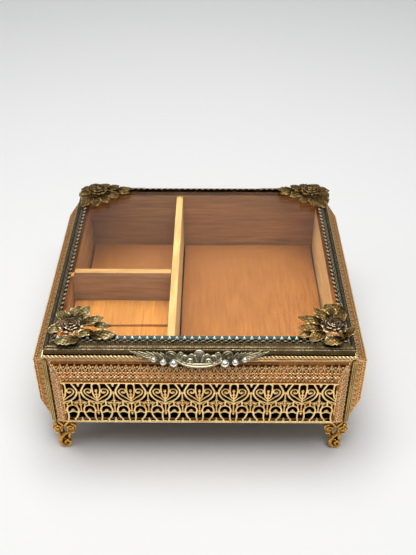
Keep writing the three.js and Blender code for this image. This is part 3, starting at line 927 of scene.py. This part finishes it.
def leaf(shape, rng, root, angle, length, width, droop=0.0, curl=0.5, roll=0.0):
    """A veined leaf: a thin closed sheet, hammered, with a midrib, side veins and an uneven raised rim. Its
    relief gives painted highlights on the rim, rib and bumps, and painted shade towards the root and on its
    underside.
    """
    rows, columns = 30, 19
    s = np.linspace(0, 1, rows)[:, None]
    t = np.linspace(-1, 1, columns)[None, :]
    profile = np.sin(np.clip(s * 1.005, 0, 1) ** 0.95 * math.pi) ** 0.5 * (1 - 0.06 * s) + 0.07 * (1 - s)
    phase = rng.uniform(0, TAU, 6)
    side = np.sign(t)
    notch = 1 + 0.05 * np.sin(s * 17 + phase[0] + side) + 0.06 * np.sin(s * 37 + phase[1] - side)
    bend = rng.uniform(-0.08, 0.08) * length * s**2
    x = s * length * (1 - 0.05 * t**2) + 0 * t
    y = t * width / 2 * profile * notch + bend
    rib = np.exp(-((t / 0.12) ** 2)) * (1 - s * 0.6)
    run = s * 6.5 - np.abs(t) * 1.7 + phase[2]
    veins = np.exp(-(((run % 1 - 0.5) / 0.14) ** 2)) * (1 - np.exp(-((t / 0.22) ** 2)))
    rim = np.exp(-(((np.abs(t) - 0.95) / 0.09) ** 2))
    dents = np.sin(s * 14 + phase[3] + t * 5) * np.sin(t * 7 + phase[4] + s * 6)
    crumple = np.sin(s * 31 + phase[1] + t * 9) * np.sin(t * 13 + phase[0] - s * 11)
    z = curl * (1 - t**2) * profile * 1.3 + 0.3 * rib + 0.06 * veins * profile + 0.35 * rim * profile
    z = z + roll * t * profile * width / 2 - droop * s**2 * length * 0.28 + 0.9 * np.sin(s * math.pi) * curl
    z = z + (0.3 * dents + 0.16 * crumple) * profile + 0.2 * np.sin(s * 27 + phase[5]) * np.abs(t) ** 3
    # Painted highlight on the rim, rib, veins and bumps; painted shade towards the root.
    relief = 0.48 + 0.12 * rib + 0.05 * veins + 0.7 * rim + 0.2 * dents + 0.2 * crumple - 0.8 * (1 - s) ** 3
    front = turned(angle, *root)(np.stack([x, y, z], axis=-1))
    back = front - (0, 0, 0.55)
    closed_sheet(shape, front, back, np.clip(relief, 0, 1), 0, flipped=True)


# The leaves of each spray, as if at the front left with X and Y towards the middle of the lid:
# root x and y from the rose, angle, length, width, droop, curl, roll, lift.
LEAVES = {
    "front_left": [
        (1.5, 4.5, 55, 16.5, 9, -0.1, 0.5, 0.0, 1.0),
        (-0.5, 5.5, 80, 14, 9, -0.1, 0.5, 0.1, 0.8),
        (4.0, 2.0, 25, 15.5, 9, -0.08, 0.5, -0.1, 1.1),
        (14.0, 0.6, -4, 10.5, 3.4, -0.1, 0.6, 0.6, 1.6),
        (13.0, -7.5, -4, 15, 9, 0.1, 0.5, 0.0, 0.6),
        (13.6, -4.4, 212, 10.5, 7.5, 0.0, 0.5, 0.1, 1.2),
        (6.0, -11.4, 184, 15, 8.5, 0.0, 0.5, 0.0, 0.3),
        (-5.8, 1.0, 222, 10.5, 8.5, 0.1, 0.45, 0.1, 0.7),
        (-1.7, 5.0, 141, 12.5, 7.5, 0.0, 0.5, -0.1, 1.0),
        (-4.0, 0.5, 176, 8.5, 6.5, 0.1, 0.45, 0.0, 0.5),
    ],
    "front_right": [
        (5.0, 3.4, 19, 16.5, 7.5, -0.08, 0.5, -0.1, 1.0),
        (6.8, -1.6, 3, 14.5, 7, -0.05, 0.5, 0.1, 0.7),
        (13.6, -6.0, -14, 9.5, 6.5, 0.1, 0.5, 0.0, 0.6),
        (6.4, -5.4, -44, 12.5, 7.5, 0.1, 0.5, 0.1, 0.9),
        (-5.0, -10.6, -18, 13, 8.5, 0.0, 0.5, 0.0, 0.3),
        (-5.8, -9.0, 128, 10.5, 7, 0.0, 0.45, 0.1, 0.7),
        (-2.4, 4.0, 116, 12, 8, 0.0, 0.5, 0.0, 1.1),
        (0.0, 6.5, 80, 15, 8.5, -0.1, 0.5, 0.1, 0.8),
        (2.0, 5.4, 46, 13.5, 8, -0.1, 0.5, 0.0, 1.2),
        (-8.2, 14.5, 34, 12, 8, 0.0, 0.5, 0.0, 0.5),
    ],
    "back": [
        (7.0, 0.2, -33, 11, 7.5, -0.1, 0.5, 0.0, 1.0),
        (13.0, 0.2, -10, 13.5, 8.5, -0.1, 0.5, 0.1, 0.7),
        (14.0, 2.6, 8, 10.5, 7, 0.0, 0.5, 0.0, 0.9),
        (7.5, 3.6, 34, 12, 8, 0.0, 0.5, 0.0, 0.6),
        (2.6, 8.0, 56, 12.5, 7.5, 0.0, 0.5, 0.1, 0.5),
        (0.0, 9.5, 94, 13.5, 7.5, 0.0, 0.5, -0.1, 0.5),
        (-4.0, 9.0, 107, 17, 8, 0.0, 0.5, 0.0, 0.6),
        (-7.4, 6.5, 98, 13, 7.5, 0.0, 0.45, 0.1, 0.9),
        (-5.6, 1.0, 134, 11, 8, 0.15, 0.45, 0.0, 0.9),
        (-4.5, -1.0, 186, 10, 8, 0.3, 0.45, 0.0, 0.6),
        (-2.0, -3.0, 236, 8.5, 8, 0.3, 0.45, 0.0, 0.6),
        (3.0, -3.0, -62, 8.5, 8, 0.3, 0.45, 0.0, 0.6),
    ],
}


def spray(name, sx, sy, rng, material):
    """The leaves round one corner of the lid."""
    shape = Shape()
    leaves = LEAVES.get(name, LEAVES["back"])
    for x, y, degrees, length, width, droop, curl, roll, lift in leaves:
        angle = math.radians(degrees + rng.uniform(-4, 4))
        root = (x, y, lift)
        leaf(shape, rng, root, angle, length * rng.uniform(0.97, 1.05), width, droop, curl, roll)
        tip = (x + 2 * math.cos(angle), y + 2 * math.sin(angle), lift + 0.5)
        stem = [(0, 0, 0.6), (x * 0.5 + 0.3, y * 0.5 - 0.2, lift * 0.6 + 0.6), root, tip]
        tube(shape, smooth_path(stem), 0.5, 6, 0.4)
    # A flat dark boss under the rose: its low relief paints the shade there.
    ball(shape, (0, 0, 0.5), 3.2, (1, 1, 0.35), relief=0.1)
    node = "leaf_spray_" + name
    shape.move(lambda points: points * (-sx, -sy, 1.0) + (*ROSES[name], LEAF_FLOOR))
    if sx * sy < 0:
        shape.polygons = [p[:, ::-1] for p in shape.polygons]
    place(node + "_veined", shape.mesh(node), [material], "lid", "leaf_brass", [node], 60)


def petal(shape, rng, angle, base, width, tall, cup, lean, height):
    """One cupped petal with a rolled, wavy lip, as a thin closed sheet."""
    rows, columns = 16, 15
    s = np.linspace(0, 1, rows)[:, None]
    t = np.linspace(-1, 1, columns)[None, :]
    phase = rng.uniform(0, TAU, 2)
    wave = 1 + 0.1 * np.sin(t * 4 + phase[0]) * s
    lip = np.clip(s - 0.72, 0, 1) ** 1.5
    x = base + lean * s**1.3 * wave + 6 * lip - cup * t**2 + 0.25 * np.sin(t * 5 + phase[1]) * s
    y = t * width * (0.4 + 0.6 * np.sin(s * math.pi * 0.62)) + 0 * x
    z = height + tall * (s - 0.3 * s**5) * (1 - 0.14 * t**4)
    z = z + 0.2 * np.sin(t * 6 + phase[0]) * s**3 - 2.2 * lip
    # Painted highlight on the lip, painted shade down towards the heart; the petal's back gets a third of
    # it, also as painted shade.
    relief = np.clip(1.3 * s**26 + 0.12 + 0.3 * s + 0.12 * np.sin(t * 9 + phase[0]) * s, 0, 1)
    front = np.stack([x, y, z], axis=-1)
    back = front - (0.45, 0, 0.3)
    move = turned(angle)
    closed_sheet(shape, move(front), move(back), relief, relief * 0.3)


# Rings of petals of a rose: count, inner radius, half width, height, cup, lean, start height.
PETAL_RINGS = [
    (5, 1.6, 4.0, 1.1, 0.8, 5.2, 0.0),
    (5, 1.2, 3.2, 2.3, 1.0, 3.6, 0.3),
    (4, 0.8, 2.6, 3.3, 1.2, 2.2, 0.6),
    (3, 0.4, 2.0, 3.9, 1.2, 1.3, 0.8),
    (2, 0.1, 1.4, 4.2, 1.1, 0.6, 1.0),
]


def rose(name, rng, material):
    """A full blown rose: uneven rings of petals round a tight bud."""
    shape = Shape()
    for count, base, width, tall, cup, lean, height in PETAL_RINGS:
        start = rng.uniform(0, TAU)
        for k in range(count):
            angle = start + k * TAU / count + rng.uniform(-0.2, 0.2)
            size = rng.uniform(0.86, 1.1)
            high = tall * rng.uniform(0.82, 1.08)
            petal(shape, rng, angle, base, width * size, high, cup, lean * size, height)
    ball(shape, (0.2, 0.1, 4.0), 0.7, (1, 1, 1.3), relief=0.6)
    # A flat dark boss under the petals: its low relief paints the shade at the rose's heart.
    ball(shape, (0, 0, 0.8), 3.4, (1, 1, 0.4), relief=0.1)
    node = "rose_" + name
    mesh = shape.move(turned(rng.uniform(0, TAU), *ROSES[name], ROSE_FLOOR)).mesh(node)
    place(node + "_petals", mesh, [material], "lid", "leaf_brass", [node], 60)


# Strokes of one half of the lift, on its sloping plane: x from the centre, up from the lip.
LIFT = [
    ([(0, 2.3), (5, 2.4), (7.6, 2.8)], 0.45, 1.3),
    ([(0, 0.7), (4, 0.8), (7.6, 1.5), (10.6, 2.6), (13.4, 4.2)], 0.6, 1.0),
    ([(0, 10.7), (1.2, 10.6), (2.4, 9.8), (3, 8.5)], 0.5, 1.5),
    ([(2.5, 7.6), (1.9, 6), (1.3, 4.2)], 0.42, 1.8),
    ([(0, 9.6), (0, 7)], 0.5, 0.9),
    ([(1.2, 9.2), (0.8, 7)], 0.4, 0.8),
    ([(2.9, 7.0), (3.9, 8.3), (5.4, 8.3), (6.4, 7.2), (6.5, 6)], 0.45, 1.4),
    ([(4.2, 7.2), (4.6, 6)], 0.4, 0.9),
    ([(5.2, 7), (5.2, 5.9)], 0.4, 0.9),
    ([(4.2, 4.0), (4.6, 5.2), (6, 5.4), (7.2, 4.5), (7.6, 3.2), (7.2, 2.4)], 0.42, 1.8),
    ([(5.7, 3.7), (5.8, 3.7)], 0.75, 1.2),
    ([(7.5, 7.2), (9.2, 7.6), (10.5, 6.4), (10.7, 4.8), (9.8, 3.4), (8.6, 2.8)], 0.42, 1.7),
    ([(8.6, 6.2), (9.2, 5.4), (9, 4.4)], 0.4, 1.2),
    ([(9.8, 8.8), (11.4, 9.6), (12.8, 8.6), (13.2, 7), (12.6, 5.4), (11.4, 4.4)], 0.42, 1.6),
    ([(11.2, 8.2), (11.8, 7.2), (11.6, 6.2)], 0.4, 1.1),
    ([(13.6, 6.6), (14.4, 8.8), (16.4, 9.9), (18.8, 9.8), (20.2, 8.6), (19.6, 7.2)], 0.42, 1.0),
    ([(14.6, 6), (15.6, 8), (17.8, 8.8)], 0.38, 0.9),
    ([(16.2, 6), (17.2, 7.4), (19, 7.8)], 0.36, 0.8),
    ([(20, 6.2), (21.4, 8), (23.4, 9.2)], 0.5, 0.8),
    ([(21.6, 5.8), (23.2, 7.4), (25.6, 9.2)], 0.5, 0.8),
    ([(23.6, 6), (25.4, 8), (28, 9.6)], 0.5, 0.8),
    ([(25.2, 4.4), (28.2, 8), (32, 9.8)], 0.48, 0.8),
    ([(28, 7.6), (33, 8.6), (37, 10)], 0.45, 0.8),
    ([(28, 6.6), (34, 7.8), (39.5, 9.8)], 0.42, 0.8),
    ([(28, 5.6), (33, 6.6), (37.6, 8.4), (42, 10.2)], 0.48, 0.9),
    ([(27, 4.4), (31, 5.2), (35.6, 6.8)], 0.5, 0.8),
    ([(13.4, 4.6), (20, 5.2), (27, 6)], 1.5, 0.15),
    ([(13, 2.9), (20, 3.4), (28, 4.6)], 0.9, 0.25),
    ([(15, 7.6), (19, 8.4)], 1.5, 0.12),
    ([(22, 7), (27, 8), (35, 8.6)], 1.2, 0.12),
    ([(28, 5.6), (35, 7.4), (39, 9)], 0.8, 0.12),
    ([(0.5, 2.6), (9, 3.2)], 1.8, 0.14),
    ([(0, 6), (4, 5.6)], 2.4, 0.14),
    ([(0, 8.6), (1, 8.6)], 1.9, 0.3),
    ([(8.6, 6), (12, 6.6)], 2.2, 0.12),
    ([(4, 6.6), (8, 6.4)], 1.3, 0.12),
]


def lift():
    """The pale shell, scrolls, feathers and pearls by which the lid is raised."""
    shape = Shape()
    width, length = 43.2, 11.6
    run, rise = 6.4, 8.9
    a, b, edge, height = repeated(LIFT, width, 172, width, length, 46)
    slope = np.array((0, run, rise)) / math.hypot(run, rise)
    out = np.array((0, -rise, run)) / math.hypot(run, rise)
    foot = (0, -HALF_Y - 7.2, 79.3)
    # The strokes' height is their relief: painted highlight on the crowns, painted shade between them.
    sheet(shape, (foot, (1, 0, 0), slope, out), (a, b, edge, height), 0.9, 1.0)
    for sign in (-1, 1):
        for x, up, radius in ((15.5, 3.0, 2.4), (21.8, 3.6, 1.95), (27.6, 5.2, 1.7)):
            centre = np.array(foot) + (sign * x, 0, 0) + up * slope + 0.9 * out
            ball(shape, centre, radius, (1.1, 1, 0.95), sides=20)
    mesh = shape.mesh("lid_lift")
    place("lid_lift_shell", mesh, ["lift"], "lid", "lift_brass", ["lid_lift"], 60)


# ---- feet


def spiral(centre, radius, turns, start, sign, y0, y1, steps=48):
    """A flat spiral in X and Z that winds into its centre, moving from y0 to y1."""
    t = np.linspace(0, 1, steps)
    r = radius * (1 - 0.8 * t)
    angle = start + sign * t * turns * TAU
    x = centre[0] + r * np.cos(angle)
    z = centre[1] + r * np.sin(angle)
    return np.stack([x, y0 + (y1 - y0) * t, z], axis=1)


def foot_mesh():
    """Cast foot facing -Y: two volutes, a bun below each, and an S that rolls up at the toe."""
    shape = Shape()
    top = Z_BOTTOM - 0.4

    def bar(points, radius, sides):
        tube(shape, smooth_path(points), radius, sides)

    def roll(start, end):
        tube(shape, np.linspace(start, end, 6), 2.9, 20)

    for sign in (-1, 1):
        volute = spiral((4.6 * sign, 16.6), 3.1, 1.8, math.pi / 2, -sign, -6.8, -8.8)
        tube(shape, volute, np.linspace(0.95, 0.5, len(volute)), 10)
        ball(shape, (4.6 * sign, -8.4, 16.6), 0.8)
        roll((4.6 * sign, -6.6, 16.6), (4.6 * sign, -3.2, 16.6))
        ball(shape, (4.9 * sign, -6.6, 12.0), 1.8, (1.1, 1, 0.8))
        bar([(1.7 * sign, -6.4, 19.4), (1.75 * sign, -7.0, 16.0), (2.0 * sign, -7.4, 12.8)], 0.85, 10)
        bar([(5.2 * sign, -4.2, 22), (5.2 * sign, -3.6, 15.4), (2.4 * sign, -5.0, 8.4)], 1.5, 10)
        bar([(4.4 * sign, -6.0, 23), (2.4 * sign, -7.6, 21.4), (0.5 * sign, -7.6, 18.6)], 1.0, 8)
        stay = [(0.6 * sign, -4.8, 5.0), (2.8 * sign, -3.6, 9.4), (2.8 * sign, -1.4, 15), (0, 0.4, 21)]
        bar(stay, 1.4, 12)
    ball(shape, (0, -5.8, 20.6), 2.6, (1, 0.7, 1))
    block(shape, (-6.6, -6.6, top - 1.3), (6.6, 3.8, top))
    scroll = smooth_path([
        (4.4, -6.6, 12.6), (1.4, -7.8, 11.9), (-1.6, -8.6, 9.6), (-3.2, -9.2, 6.4),
        (-2.6, -9.4, 3.2), (0, -9.4, 1.5), (2.7, -9.4, 2.6), (3.1, -9.5, 5.0),
        (1.3, -9.8, 6.4), (-0.2, -10.0, 5.0), (0.7, -10.2, 3.9),
    ])
    share = np.linspace(0, 1, len(scroll))
    tube(shape, scroll, np.interp(share, [0, 0.3, 0.55, 1], [0.9, 1.6, 1.3, 0.6]), 12)
    bar([(-4.4, -6.4, 11.6), (-3.0, -7.4, 9.8), (-2.2, -8.0, 8.6)], 1.1, 10)
    roll((0.2, -8.8, 4.2), (0.1, -4.6, 4.4))
    bar([(2.6, -8.2, 5.6), (2.6, -7.4, 8.6), (3.6, -6.6, 11)], 1.1, 10)
    block(shape, (-2.2, -9.8, 0.0), (2.4, -4.6, 1.6))
    return fused(shape, "scroll_foot", 0.26)


def feet():
    """Four copies of the foot: the front pair faces the front, and the back pair the back."""
    pattern = foot_mesh()
    points = points_of(pattern)
    for name, sx, sy, _ in CORNERS:
        mesh = pattern.copy()
        moved = turned(0 if sy < 0 else math.pi, sx * FOOT_X * MM, sy * FOOT_Y * MM)(points)
        moved[:, 2] = np.maximum(moved[:, 2], 0)
        mesh.vertices.foreach_set("co", moved.astype(np.float32).ravel())
        node = "foot_" + name
        place(node + "_scroll", mesh, ["foot"], "base", "foot_brass", [node])


# ---- wooden tray


def board(node, faces, record_slot, seed, warp=0.12, edge=0.25):
    """A wooden board in its node's place, its edges eased and slightly uneven.

    faces gives the material of "all" its sides, then of those that differ, such as "-y".
    """
    low, high = (np.array(corner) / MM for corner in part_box(node))
    size = high - low
    sides = [side for side in faces if side != "all"]
    work = bmesh.new()
    bmesh.ops.create_cube(work, size=1.0)
    for vert in work.verts:
        vert.co = Vector((low + (np.array(vert.co) + 0.5) * size) * MM)
    for k in range(3):
        long = 0.5 * size[k] * MM
        edges = [e for e in work.edges if abs((e.verts[0].co - e.verts[1].co)[k]) > long]
        cuts = int(size[k] // 6)
        if cuts > 1:
            bmesh.ops.subdivide_edges(work, edges=edges, cuts=cuts - 1, use_grid_fill=True)
    rng = np.random.default_rng(seed)
    phase = rng.uniform(0, TAU, 6)
    centre = (low + high) / 2
    for vert in work.verts:
        point = np.array(vert.co) / MM
        wave = warp * np.sin(point[[1, 2, 0]] * 0.045 + phase[:3]) * 0.6
        wave += warp * 0.4 * np.sin(point[[2, 0, 1]] * 0.13 + phase[3:])
        on_face = np.abs(point - centre) > size / 2 - 0.01
        vert.co = Vector((point - np.sign(point - centre) * np.abs(wave) * on_face) * MM)
    sharp = [e for e in work.edges if e.calc_face_angle(0) > 0.8]
    bmesh.ops.bevel(work, geom=sharp, offset=edge * MM, segments=2, affect="EDGES", profile=0.6)
    work.normal_update()
    for number, side in enumerate(sides, start=1):
        direction = Vector([(1 if side[0] == "+" else -1) * (axis == side[1]) for axis in "xyz"])
        for face in work.faces:
            if face.normal.dot(direction) > 0.8:
                face.material_index = number
    mesh = bpy.data.meshes.new(node + "_board")
    work.to_mesh(mesh)
    work.free()
    mesh.attributes.new("relief", "FLOAT", "POINT")
    keys = [faces["all"]] + [faces[side] for side in sides]
    place(node + "_board", mesh, keys, "base", record_slot, [node], 40)


def tray():
    """The boards of the tray, its floors and its two blocks."""
    walls = (
        ("front", "wall_back", "edge", "-y"),
        ("back", "wall_back", "edge", "+y"),
        ("left", "wall_left", "long", "-x"),
        ("right", "wall_right", "long", "+x"),
    )
    for seed, (name, inner, top, outer) in enumerate(walls, start=1):
        # Outer and under faces take the near black: partly a dark lining, partly painted shade behind the
        # openwork.
        faces = {"all": inner, "+z": top, outer: "black", "-z": "black"}
        board("wall_" + name, faces, "wall_wood", seed)
    # The long divider's sides take the right wall's lighter copy, painted light.
    board("divider_long", {"all": "wall_right", "+z": "long"}, "divider_wood", 5)
    board("divider_cross", {"all": "cross", "+z": "edge"}, "divider_wood", 6)
    board("tray_floor", {"all": "black"}, "wall_wood", 7)
    board("floor_liner_right", {"all": "floor"}, "floor_wood", 8, 0.5, 0.5)
    board("floor_liner_back_left", {"all": "floor"}, "floor_wood", 9, 0.5, 0.5)
    board("ring_block_back", {"all": "block"}, "floor_wood", 10, 0.35, 0.8)
    board("ring_block_front", {"all": "block"}, "floor_wood", 11, 0.35, 0.8)


# ---- stage, lights and camera


def camera():
    """Looks down on the front of the box."""
    data = bpy.data.cameras.new("camera")
    data.lens = 50.9
    data.sensor_width = 36
    data.clip_start = 0.01
    eye = bpy.data.objects.new("camera", data)
    bpy.context.scene.collection.objects.link(eye)
    eye.location = (0.0073, -0.4403, 0.4151)
    eye.rotation_euler = (math.radians(52), 0, math.radians(0.34))
    bpy.context.scene.camera = eye


def stage():
    """Pale floor that curves up far behind the box."""
    n = Nodes("pale_backdrop")
    n.surface({
        "Base Color": n.ramp(n.noise(3, 2), [(0.3, (0.86, 0.87, 0.875)), (0.7, (0.88, 0.885, 0.89))]),
        "Roughness": 0.75,
        "Specular IOR Level": 0.2,
    })
    curve = [(1.2 + math.sin(t), 1 - math.cos(t)) for t in np.linspace(0.1, 1.4, 12)]
    bend = [(-3, 0), (1.2, 0), *curve, (2.3, 3)]
    points = [(x, y, z) for y, z in bend for x in (-3, 3)]
    faces = [(2 * k, 2 * k + 1, 2 * k + 3, 2 * k + 2) for k in range(len(bend) - 1)]
    mesh = bpy.data.meshes.new("backdrop")
    mesh.from_pydata(points, [], faces)
    mesh.shade_smooth()
    mesh.materials.append(n.material)
    floor = bpy.data.objects.new("backdrop", mesh)
    bpy.context.scene.collection.objects.link(floor)


def lamp(name, place_at, target, size, power, tint=(1, 1, 1)):
    """A soft rectangular lamp, aimed at its target."""
    data = bpy.data.lights.new(name, "AREA")
    data.shape = "RECTANGLE"
    data.size, data.size_y = size
    data.energy = power
    data.color = tint
    light = bpy.data.objects.new(name, data)
    light.location = place_at
    aim = Vector(target) - Vector(place_at)
    light.rotation_euler = aim.to_track_quat("-Z", "Y").to_euler()
    bpy.context.scene.collection.objects.link(light)


def lights():
    """A dim even surround and three large lamps."""
    world = bpy.data.worlds.new("studio")
    world.use_nodes = True
    world.node_tree.nodes["Background"].inputs["Color"].default_value = (0.95, 0.97, 1.0, 1)
    world.node_tree.nodes["Background"].inputs["Strength"].default_value = 0.22
    bpy.context.scene.world = world
    lamp("key", (-0.12, 0.1, 1.3), (0, 0, 0.05), (1.0, 0.8), 12.2, (1.0, 0.985, 0.96))
    lamp("left", (-1.0, -0.3, 0.8), (0, 0, 0.06), (0.5, 0.5), 1.0, (1.0, 0.99, 0.97))
    lamp("over_front", (0.3, -0.55, 1.3), (0.05, -0.1, 0.05), (0.8, 0.4), 5.4)
    bpy.context.scene.view_settings.view_transform = "Standard"


def main():
    camera()
    stage()
    lights()
    for name, turn, width, depth in SIDES:
        panel(name, turn, width, depth)
        twisted_rim(name, turn, width, depth)
        moulding(name, turn, width, depth)
    rng = np.random.default_rng(31)
    for name, sx, sy, turn in CORNERS:
        corner_strip(name, sx, sy, turn)
        leaves = {"front_left": "leaf", "front_right": "worn_leaf"}.get(name, "dark_leaf")
        spray(name, sx, sy, rng, leaves)
        rose(name, rng, "rose" if sy < 0 else "dark_rose")
    pane()
    lift()
    feet()
    tray()
    finish_nodes()


def finish_nodes():
    """Materials for the CAD pieces that stay as they are."""
    steel = "hinge", "foot_nut", "lift_rivet"
    brass = "glass_retainer", "base_plate"
    for name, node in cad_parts.items():
        if name.startswith(steel + brass):
            node.data.materials.clear()
            node.data.materials.append(MATERIALS["steel" if name.startswith(steel) else "base"])


main()
